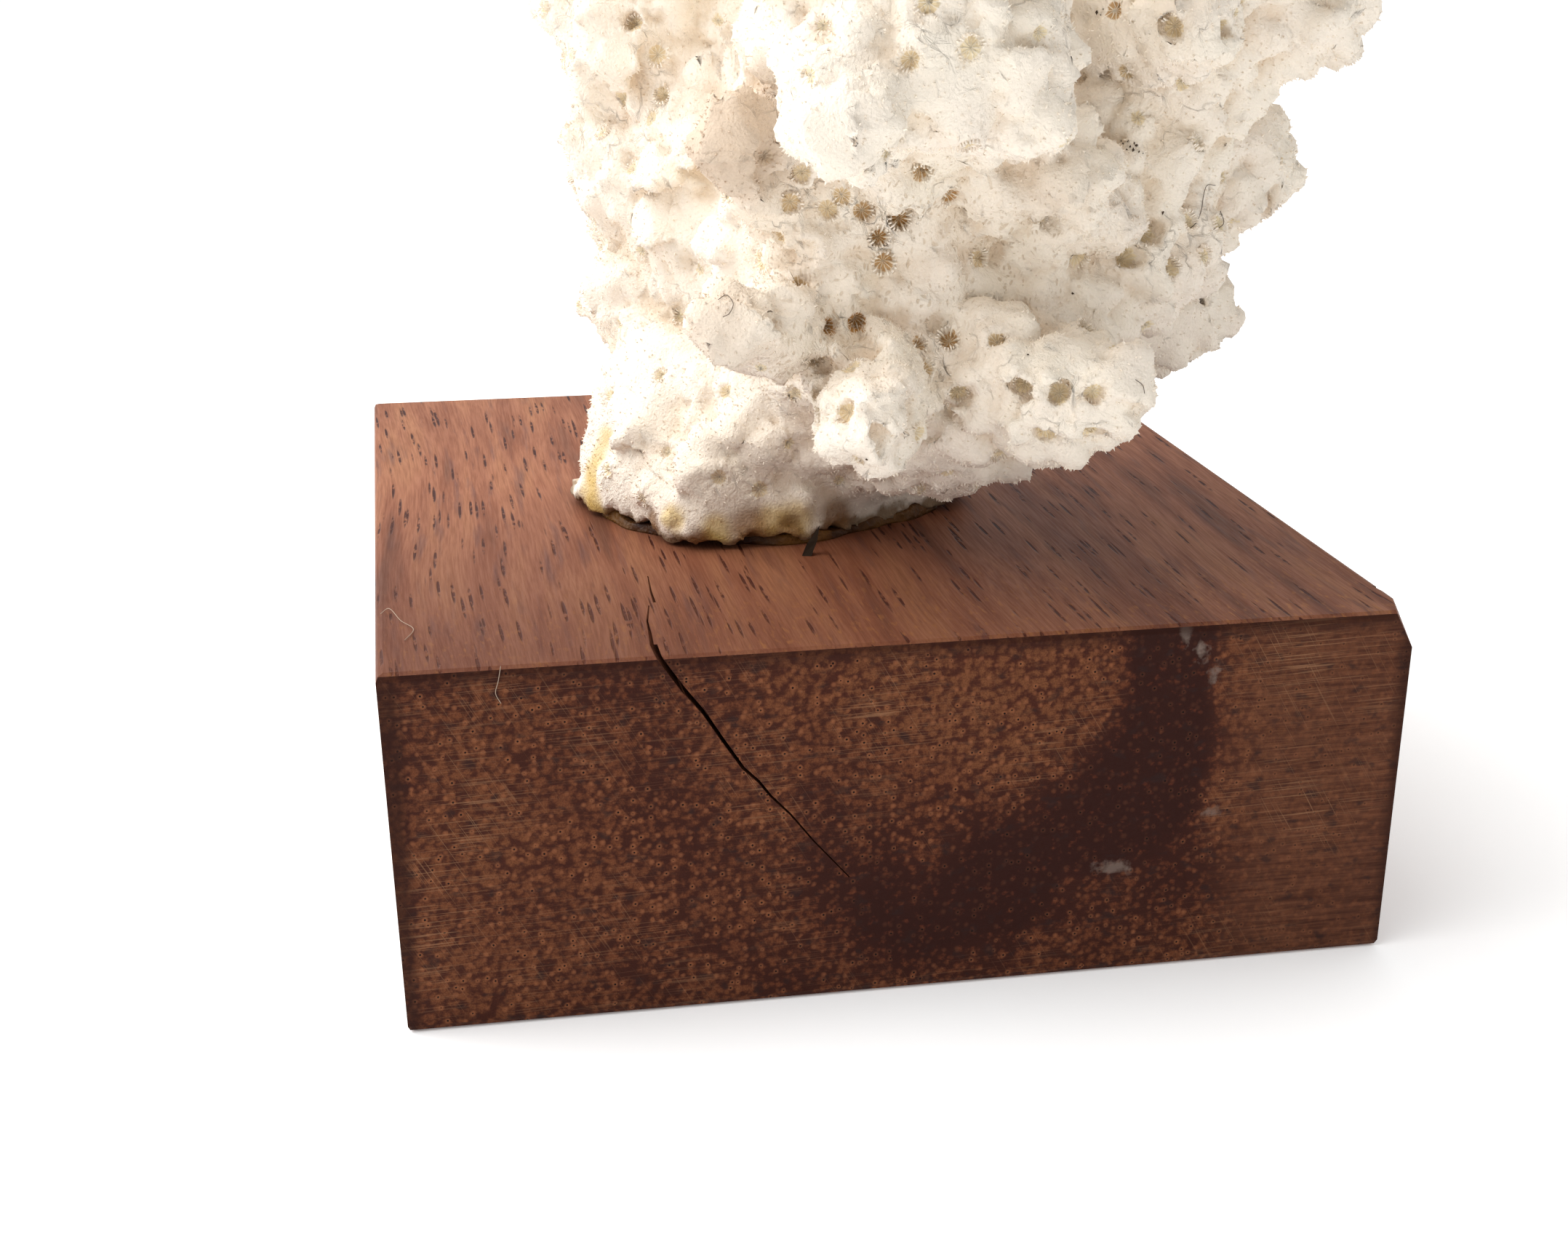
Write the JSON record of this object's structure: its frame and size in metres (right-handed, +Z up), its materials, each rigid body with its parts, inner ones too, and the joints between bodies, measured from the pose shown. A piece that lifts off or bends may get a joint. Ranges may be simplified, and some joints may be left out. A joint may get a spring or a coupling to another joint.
{
  "type": "mounted coral specimen",
  "caption": "Bleached branching stony coral glued upright to a sawn hardwood block, a desk or shelf ornament that rests on the block's flat underside.",
  "frame": {"origin": "middle of the wood block's flat underside", "axes": "+Z up out of the block, -Y out of the end-grain face with the crack, +X to the right of that face"},
  "size_m": [0.0775, 0.094, 0.1195],
  "materials": {
    "wood": "sanded dark tropical hardwood, thinly oiled",
    "glue": "yellowed clear adhesive squeezed out round the foot",
    "coral": "bleached porous aragonite skeleton, chalky"
  },
  "bodies": {
    "root": {"wood_block": "wood", "glue_bead": "glue", "coral_stem": "coral", "coral_front_branch": "coral", "coral_right_branch": "coral", "coral_low_lobe": "coral", "coral_left_branch": "coral", "coral_centre_branch": "coral", "coral_back_branch": "coral", "coral_right_back_branch": "coral"}
  },
  "joints": []
}
